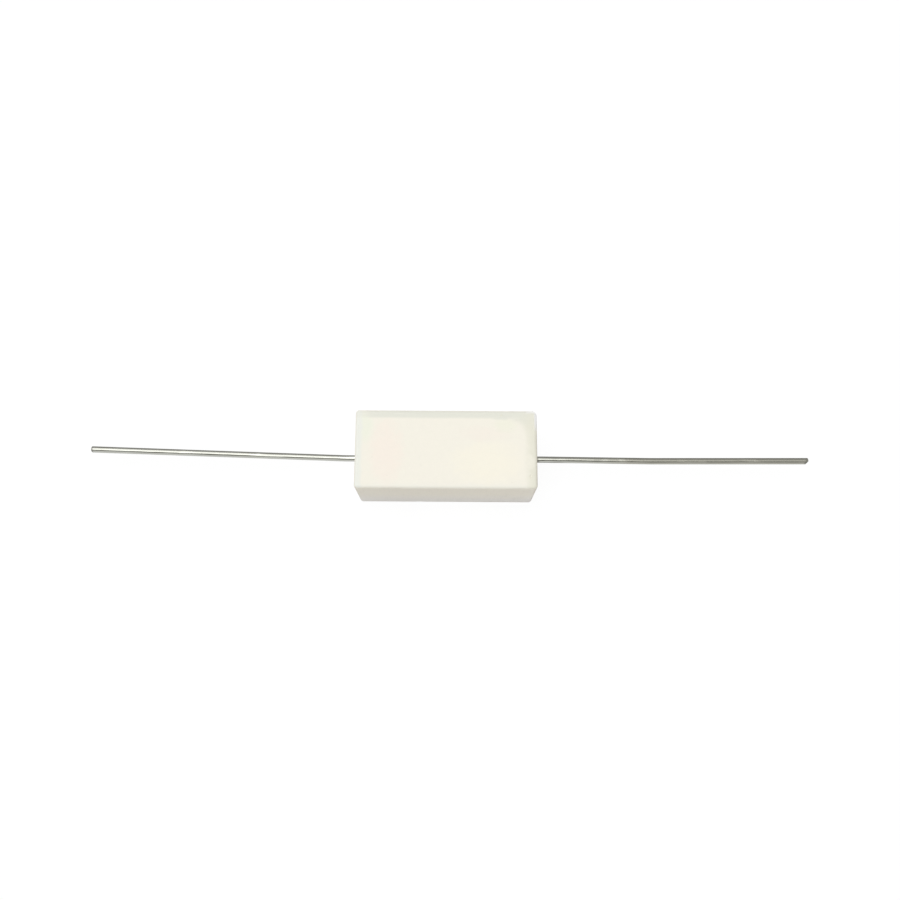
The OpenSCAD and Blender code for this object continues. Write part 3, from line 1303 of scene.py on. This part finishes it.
@dataclass
class CementFilling:
    """The cast cement: its dished open face and the plugs round the leads."""

    trough_half: Range = (9.7 * MM, 3.75 * MM)
    trough_height: float = 7.7 * MM
    corner_radius: float = 1.1 * MM
    bevel: float = 0.4 * MM
    recess: float = 0.2 * MM
    dish: float = 0.12 * MM
    grain_size: float = 0.16 * MM
    rough_layers: tuple[Range, ...] = ((0.9 * MM, 0.09 * MM), (0.25 * MM, 0.063 * MM))
    rough_margin: float = 0.12 * MM
    winding_room: float = 0.02 * MM
    rise_round_lead: float = 0.1 * MM
    rise_reach: float = 0.35 * MM
    plug_margin: float = 0.3 * MM
    rim_share: float = 1.1
    corner_steps: int = 6
    dish_sides: int = 512
    room_sides: int = 48
    lead_sides: int = 40

    def build(self) -> Piece:
        """Models the filling.

        Returns:
            The finished filling.
        """
        low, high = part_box("cement_fill")
        half_x, half_y = self.trough_half
        piece = block("cast_filling", Vector((-half_x, -half_y, low.z)),
                      Vector((half_x, half_y, self.trough_height)))
        self.draft_walls(piece)
        join(piece, slot_bar(low.x, high.x, low.z))
        self.sink_surface(piece, high)
        self.roughen(piece, high)
        self.clear_element(piece)
        fair(piece)
        return piece

    def dress(self, piece: Piece, groups: Groups) -> None:
        """Gives the filling its finish and its place in the frame."""
        piece.data.materials.append(CastCement().build(groups))
        seat(piece, "cement_fill")

    def draft_walls(self, piece: Piece) -> None:
        """Narrows the block towards the closed face and rounds its corners.

        Args:
            piece: The block of cement.
        """
        half_x, half_y = self.trough_half
        taper = (self.trough_height - self.bevel) * math.tan(DRAFT)
        inner_x, inner_y = half_x - taper, half_y - taper
        pick(piece, Part.FACE, lambda at, normal: normal.z > ALONG)
        bpy.ops.transform.translate(value=(0, 0, -self.bevel))
        resize((inner_x / half_x, inner_y / half_y, 1), (0, 0, 0))
        extrude((0, 0, self.bevel))
        resize(((inner_x - self.bevel) / inner_x, (inner_y - self.bevel) / inner_y, 1), (0, 0, 0))
        leave_edit()
        bevel_edges(piece, lambda at, way: abs(way.z) > ALONG, self.corner_radius, self.corner_steps)

    def sink_surface(self, piece: Piece, high: Vector) -> None:
        """Sinks the open face below the rim, deeper towards the middle.

        Args:
            piece: The block of cement.
            high: Its highest corner.
        """
        half_y = self.trough_half[1]
        radius = (half_y ** 2 + self.dish ** 2) / (2 * self.dish)
        height = self.recess + self.dish - radius
        reach = high.x + OVERSHOOT
        cut(piece, rod("dish", Vector((-reach, 0, height)), Vector((reach, 0, height)), radius,
                       self.dish_sides))

    def roughen(self, piece: Piece, high: Vector) -> None:
        """Remeshes the block and gives its open surfaces the unevenness of cast cement.

        Args:
            piece: The block of cement.
            high: Its highest corner.
        """
        apply_modifier(piece, "REMESH", mode="VOXEL", voxel_size=self.grain_size)
        open_face = self.recess + self.dish + self.rough_margin
        plug = high.x - self.rough_margin
        shown = [v.index for v in piece.data.vertices if v.co.z < open_face or abs(v.co.x) > plug]
        group = piece.vertex_groups.new(name="open_surface")
        group.add(shown, 1.0, "REPLACE")
        for size, depth in self.rough_layers:
            texture = bpy.data.textures.new("cast_unevenness", "CLOUDS")
            texture.noise_scale = size
            texture.noise_depth = 2
            apply_modifier(piece, "DISPLACE", texture=texture, texture_coords="LOCAL",
                           strength=depth, mid_level=1.0, vertex_group=group.name)

    def clear_element(self, piece: Piece) -> None:
        """Leaves room for the element and the leads, and lets the cement climb a little on them.

        Args:
            piece: The rough block of cement.
        """
        low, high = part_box("resistance_winding")
        room = axis_rod("winding_room", low.x - OVERSHOOT, high.x + OVERSHOOT,
                        high.y + self.winding_room, self.room_sides)
        for end in End:
            low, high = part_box(f"{end.name.lower()}_end_cap")
            join(room, axis_rod("cap_room", low.x, high.x, high.y, self.room_sides))
        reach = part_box("ceramic_case")[1].x + OVERSHOOT
        join(room, axis_rod("lead_room", -reach, reach, LEAD_RADIUS, self.lead_sides))
        cut(piece, room)
        end_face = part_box("cement_fill")[1].x - self.plug_margin
        rim = LEAD_RADIUS * self.rim_share

        def on_rim(at: Vector, end: End) -> bool:
            """Is this place on the rim of the lead's hole at one end?"""
            return at.x * end.value > end_face and Vector((at.y, at.z - LEAD_HEIGHT)).length < rim

        for end in End:
            pick(piece, Part.EDGE, lambda at, way: on_rim(at, end))
            bpy.ops.transform.translate(
                value=(end.value * self.rise_round_lead, 0, 0), use_proportional_edit=True,
                proportional_edit_falloff="SHARP", proportional_size=self.rise_reach)
            leave_edit()


@dataclass(frozen=True)
class Bend:
    """A slight bend of a lead: the straight run before it and its angle towards +Y."""

    run: float
    angle: float


@dataclass(frozen=True)
class Nick:
    """A small flat that a tool left on a lead, by its distance from the case and its side."""

    distance: float
    length: float
    side: tuple[float, float, float]
    depth: float


@dataclass
class Lead:
    """One tinned lead: its weld on the cap, its straight runs and slight bends and its cut tip.

    A step of the weld is a share of the weld's length and a radius as a share of the wire's diameter.
    """

    end: End
    length: float
    bends: tuple[Bend, ...]
    tip_bevel: float
    nicks: tuple[Nick, ...]
    finish: TinnedWire
    weld_radius: float = 0.8 * MM
    weld_length: float = 0.4 * MM
    weld_steps: tuple[Range, ...] = ((0.45, 0.72), (0.35, 0.54), (0.2, 0.5))
    bend_radius: float = 12 * MM
    step: float = 0.4 * MM
    slack: float = 0.005 * MM
    rim_bevel: float = 0.03 * MM
    rim: Range = (0.6 * LEAD_RADIUS, 1.02 * LEAD_RADIUS)
    rim_steps: int = 2
    bend_steps: int = 3
    nick_turn: float = 0.75
    bare_turn: float = 0.6
    sides: int = 40

    def build(self) -> Piece:
        """Models the lead along +X and mirrors the left one.

        Returns:
            The finished lead.
        """
        start = Vector((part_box("right_end_cap")[1].x, 0, LEAD_HEIGHT))
        piece = add_shape(f"tinned_lead_{self.end.name.lower()}", bpy.ops.mesh.primitive_circle_add,
                          vertices=self.sides, radius=self.weld_radius, fill_type="NGON",
                          location=start, rotation=(0, math.pi / 2, 0))
        settle(piece)
        bpy.ops.object.mode_set(mode="EDIT")
        bpy.ops.mesh.select_all(action="SELECT")
        for share, size in self.weld_steps:
            start = self.push(start, self.weld_length * share, size * 2 * LEAD_RADIUS)
        case_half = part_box("ceramic_case")[1].x
        tip, way = self.follow(start, case_half)
        leave_edit()
        for nick in self.nicks:
            self.flatten(piece, nick, case_half + nick.distance)
        self.cut_tip(piece, tip, way)
        if self.end is End.LEFT:
            piece.scale = (-1, 1, 1)
            settle(piece)
        fair(piece)
        return piece

    def dress(self, piece: Piece, groups: Groups) -> None:
        """Gives the lead its two finishes and its place in the frame.

        Args:
            piece: The finished lead.
            groups: The shared shader groups.
        """
        copper = bpy.data.materials.get(CutCopper.name) or CutCopper().build(groups)
        piece.data.materials.append(self.finish.build(groups, self.end))
        piece.data.materials.append(copper)
        seat(piece, f"{self.end.name.lower()}_lead")

    def push(self, start: Vector, distance: float, radius: float) -> Vector:
        """Extrudes the selected end along the lead and sets its radius.

        Args:
            start: Where the end is.
            distance: How far it goes.
            radius: The radius at its new place.

        Returns:
            Where the end is now.
        """
        mesh = bmesh.from_edit_mesh(bpy.context.object.data)
        now = max((v.co - start).length for v in mesh.verts if v.select)
        stop = start + Vector((distance, 0, 0))
        extrude(stop - start)
        resize((1, radius / now, radius / now), stop)
        return stop

    def run_straight(self, start: Vector, way: Vector, distance: float) -> Vector:
        """Extrudes the selected end in even steps.

        Args:
            start: Where the end is.
            way: Its direction.
            distance: How far it goes.

        Returns:
            Where the end is now.
        """
        steps = max(1, round(distance / self.step))
        for _ in range(steps):
            extrude(way * distance / steps)
        return start + way * distance

    def follow(self, start: Vector, case_half: float) -> tuple[Vector, Vector]:
        """Takes the selected end along the straight runs and round the bends.

        Args:
            start: Where the end is.
            case_half: Where the wire leaves the case.

        Returns:
            The tip's middle and its direction.
        """
        way = Vector((1, 0, 0))
        place = self.run_straight(start, way, case_half - start.x)
        left = self.length - self.slack
        for bend in self.bends:
            place = self.run_straight(place, way, bend.run)
            beside = Vector((-way.y, way.x, 0)) * math.copysign(1, bend.angle)
            centre = place + beside * self.bend_radius
            bpy.ops.mesh.spin(steps=self.bend_steps, angle=-bend.angle, axis=(0, 0, 1),
                              center=centre)
            turn = Matrix.Rotation(bend.angle, 3, "Z")
            place = centre + turn @ (place - centre)
            way = turn @ way
            left -= bend.run + self.bend_radius * abs(bend.angle)
        return self.run_straight(place, way, left), way

    def flatten(self, piece: Piece, nick: Nick, middle: float) -> None:
        """Presses a small flat into the wire.

        Args:
            piece: The lead.
            nick: The flat.
            middle: Where its middle is along X.
        """
        side = Vector(nick.side)
        pick(piece, Part.FACE, lambda at, normal: abs(at.x - middle) < nick.length / 2
             and normal.dot(side) > self.nick_turn)
        bpy.ops.transform.translate(value=side * -nick.depth)
        leave_edit()

    def cut_tip(self, piece: Piece, tip: Vector, way: Vector) -> None:
        """Bevels the tip's rim, takes off the corner that the cutter left and bares the copper.

        Args:
            piece: The lead.
            tip: The tip's middle.
            way: The tip's direction.
        """
        inside, outside = self.rim
        bevel_edges(piece, lambda at, along: abs(along.dot(way)) < 1 - ALONG
                    and inside < (at - tip).length < outside, self.rim_bevel, self.rim_steps)
        side = Vector((way.y, -way.x, 0))
        pick(piece, Part.FACE, lambda at, normal: (at - tip).length < 4 * LEAD_RADIUS)
        bpy.ops.mesh.bisect(plane_co=tip + side * (LEAD_RADIUS - self.tip_bevel),
                            plane_no=(way + side).normalized(), threshold=BISECT_DISTANCE,
                            use_fill=True, clear_outer=True)
        leave_edit()
        for face in piece.data.polygons:
            bare = face.normal.dot(way) > self.bare_turn
            face.material_index = int(bare and (face.center - tip).length < 2 * LEAD_RADIUS)


@dataclass
class Element:
    """The sealed element, which keeps the frame's own solids."""

    core: GrainyFinish = GrainyFinish("fired_core", linear(240, 238, 230), linear(222, 218, 206),
                                      (0.6, 0.75))
    alloy: PlainMetal = PlainMetal("resistance_alloy", linear(150, 147, 140),
                                   linear(104, 100, 94), (0.34, 0.49), stretch=(1, 5, 5))
    cap_steel: PlainMetal = PlainMetal("drawn_cap_steel", linear(196, 195, 190),
                                       linear(160, 158, 152), (0.28, 0.43), stretch=(6, 1, 1))

    def dress(self, groups: Groups) -> None:
        """Gives each sealed solid its finish.

        Args:
            groups: The shared shader groups.
        """
        for finish, names in ((self.core, ("core_rod",)), (self.alloy, ("resistance_winding",)),
                              (self.cap_steel, ("left_end_cap", "right_end_cap"))):
            material = finish.build(groups)
            for name in names:
                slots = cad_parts[name].data.materials
                slots.clear()
                slots.append(material)
                log.info("%s keeps its solid and gets %s", name, material.name)


# The studio

@dataclass
class Studio:
    """The camera, the floor, the world and the lamp."""

    eye: Vector = field(default_factory=lambda: Vector((0.54, -26.03, 119.47)) * MM)
    pitch: float = math.radians(13.2)
    tilt: float = math.radians(-0.055)
    roll: float = math.radians(0.371)
    focal_pixels: float = 943.3
    picture_side: float = 900.0
    sensor: float = 36.0
    clip: Range = (1 * MM, 20.0)
    floor_half: float = 2.0
    floor_tone: float = 0.85
    floor_shadow: float = 0.1
    floor_seen: float = 1.02
    world_tone: float = 0.38
    key_place: tuple[float, float, float] = (0, 0.4, 0.6)
    key_power: float = 1.82
    key_zenith: float = math.radians(6)
    key_west: float = math.radians(12)
    key_spread: float = math.radians(60)

    def build(self) -> None:
        """Makes the whole studio."""
        self.make_camera()
        self.make_floor()
        self.make_world()
        self.make_key()
        bpy.context.scene.view_settings.view_transform = "Standard"

    def make_camera(self) -> None:
        """Puts the camera at the photograph's view."""
        camera = add_shape("camera", bpy.ops.object.camera_add, location=self.eye,
                           rotation=(self.pitch, self.tilt, self.roll))
        camera.data.sensor_fit = "HORIZONTAL"
        camera.data.sensor_width = self.sensor
        camera.data.lens = self.sensor * self.focal_pixels / self.picture_side
        camera.data.clip_start, camera.data.clip_end = self.clip
        bpy.context.scene.camera = camera

    def make_floor(self) -> None:
        """Lays the pale floor that shows as white and keeps the object's shadow."""
        floor = add_shape("floor", bpy.ops.mesh.primitive_plane_add, size=2 * self.floor_half,
                          location=(0, 0, 0))
        material = bpy.data.materials.new("pale_floor")
        material.use_nodes = True
        graph = Graph(material.node_tree)
        plain, faint = [graph.node("ShaderNodeBsdfDiffuse", {"Color": (tone,) * 3}).outputs[0]
                        for tone in (self.floor_tone, self.floor_shadow)]
        glow = graph.node("ShaderNodeEmission", {"Strength": self.floor_seen - self.floor_shadow})
        shown = graph.node("ShaderNodeAddShader", {0: faint, 1: glow.outputs[0]})
        graph.end("ShaderNodeOutputMaterial", plain, shown.outputs[0])
        floor.data.materials.append(material)

    def make_world(self) -> None:
        """Makes the even light of the room, white where the camera sees it."""
        world = bpy.data.worlds.new("room")
        world.use_nodes = True
        graph = Graph(world.node_tree)
        light, white = [graph.node("ShaderNodeBackground", {"Color": (1.0, 1.0, 1.0),
                                                            "Strength": tone}).outputs[0]
                        for tone in (self.world_tone, 1.0)]
        graph.end("ShaderNodeOutputWorld", light, white)
        bpy.context.scene.world = world

    def make_key(self) -> None:
        """Hangs the broad lamp above the object, to the left."""
        key = add_shape("key", bpy.ops.object.light_add, type="SUN", location=self.key_place,
                        rotation=(-self.key_zenith, -self.key_west, 0))
        key.data.energy = self.key_power
        key.data.angle = self.key_spread


def main() -> None:
    """Builds the studio, then each sub-assembly in its order."""
    logging.basicConfig(level=logging.INFO, format="%(name)s: %(message)s")
    Studio().build()
    groups = Groups()
    left = Lead(
        End.LEFT, length=33.7 * MM, tip_bevel=0.12 * MM,
        bends=(Bend(1.5 * MM, math.radians(1.7)),),
        nicks=(Nick(10.9 * MM, 2.2 * MM, (0, 0.5, 0.87), 0.02 * MM),
               Nick(21.5 * MM, 0.9 * MM, (0, -0.4, 0.92), 0.015 * MM)),
        finish=TinnedWire(dulling_and_dimming=(38.0, 60.0), tip=44.69, crushed=0.25))
    right = Lead(
        End.RIGHT, length=34.5 * MM, tip_bevel=0.3 * MM,
        bends=(Bend(1.5 * MM, math.radians(-0.5)), Bend(13 * MM, math.radians(0.9))),
        nicks=(Nick(2.9 * MM, 0.5 * MM, (0, 0.2, 0.98), 0.02 * MM),
               Nick(8.4 * MM, 0.7 * MM, (0, 0, 1), 0.015 * MM),
               Nick(26.8 * MM, 1.6 * MM, (0, -0.5, 0.87), 0.02 * MM)),
        finish=TinnedWire(dulling_and_dimming=(12.0, 26.0), tip=45.5, crushed=0.6, reflected_line_strength=1.0,
                          top_dimming=0.7, top_dimming_from=9.5, root=1.0))
    for part in (CeramicCase(), CementFilling(), left, right):
        part.dress(part.build(), groups)
    Element().dress(groups)


if __name__ == "__main__":
    main()
